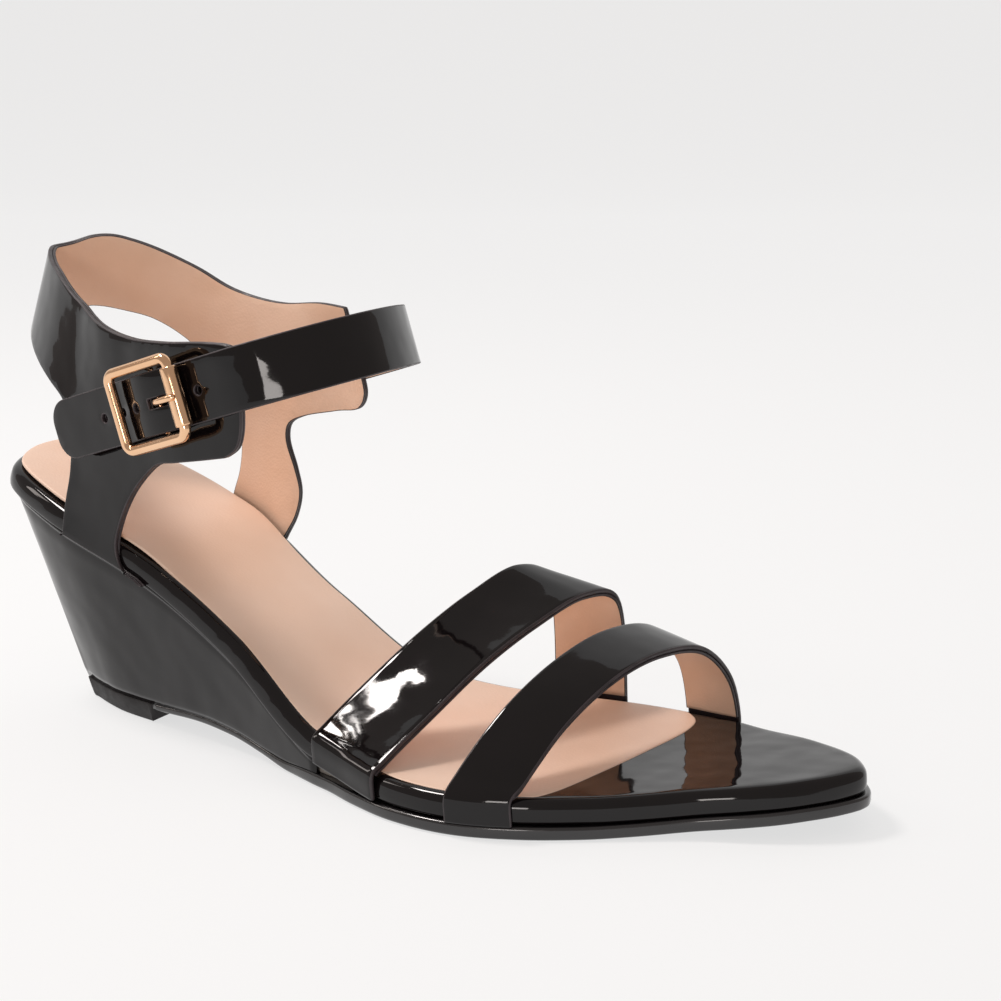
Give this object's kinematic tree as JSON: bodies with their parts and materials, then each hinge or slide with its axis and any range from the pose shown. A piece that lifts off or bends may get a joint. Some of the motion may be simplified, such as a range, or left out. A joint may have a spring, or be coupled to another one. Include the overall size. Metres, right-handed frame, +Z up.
{
  "type": "wedge sandal",
  "caption": "Right wedge sandal in black patent leather with two forefoot straps, a heel loop, and a buckled ankle strap.",
  "frame": {"origin": "on the ground under the middle of the rubber top piece of the heel", "axes": "+X towards the toe, +Y towards the inner side of the foot, +Z up"},
  "size_m": [0.2458, 0.0865, 0.1245],
  "materials": {
    "black_patent_leather": "lacquered mirror gloss",
    "tan_lining_leather": "matt fine grain",
    "heel_rubber": "matt moulded",
    "black_sole_unit": "satin painted edge",
    "rose_gold_plate": "polished plate",
    "steel": "plain zinc plate",
    "fibre_board": "matt",
    "foam": "open-cell foam",
    "filler": "firm foam sheet",
    "wedge_plastic": "moulded plastic"
  },
  "bodies": {
    "shoe": {"shank": "steel", "insole_board": "fibre_board", "platform_filler": "filler", "platform_cover": "black_patent_leather", "sock": "tan_lining_leather", "heel_pad": "foam", "outsole": "black_sole_unit", "wedge_core": "wedge_plastic", "wedge_cover": "black_patent_leather", "top_piece": "heel_rubber", "top_piece_pin_1": "steel", "top_piece_pin_2": "steel", "top_piece_pin_3": "steel", "heel_screw": "steel", "heel_nail_1": "steel", "heel_nail_2": "steel", "heel_nail_3": "steel", "heel_nail_4": "steel", "shank_rivet_1": "steel", "shank_rivet_2": "steel", "toe_strap": "black_patent_leather", "toe_strap_lining": "tan_lining_leather", "instep_strap": "black_patent_leather", "instep_strap_lining": "tan_lining_leather", "quarter": "black_patent_leather", "quarter_lining": "tan_lining_leather", "buckle_loop": "black_patent_leather"},
    "ankle_strap": {"ankle_strap": "black_patent_leather", "ankle_strap_lining": "tan_lining_leather"},
    "buckle": {"buckle_frame": "rose_gold_plate"},
    "prong": {"buckle_prong": "rose_gold_plate"},
    "roller": {"buckle_roller": "rose_gold_plate"}
  },
  "joints": [
    {"name": "ankle_strap_swing", "type": "hinge", "parent": "shoe", "child": "ankle_strap", "pos_m": [0.03, 0.0315, 0.08865], "axis": [-0.309, 0, 0.9511], "range_deg": [0, 75], "deforming": ["ankle_strap", "ankle_strap_lining"]},
    {"name": "buckle_rock", "type": "hinge", "parent": "shoe", "child": "buckle", "pos_m": [0.0358, -0.03399, 0.09054], "axis": [-0.309, 0, 0.9511], "range_deg": [-4, 4]},
    {"name": "prong_lift", "type": "hinge", "parent": "buckle", "child": "prong", "pos_m": [0.0358, -0.03399, 0.09054], "axis": [-0.309, 0, 0.9511], "range_deg": [-75, 0]},
    {"name": "roller_spin", "type": "hinge", "parent": "buckle", "child": "roller", "pos_m": [0.04548, -0.03948, 0.09368], "axis": [-0.309, 0, 0.9511], "continuous": true}
  ],
  "couplings": [
    {"joint": "prong_lift", "follows": "ankle_strap_swing", "ratio": -1}
  ]
}
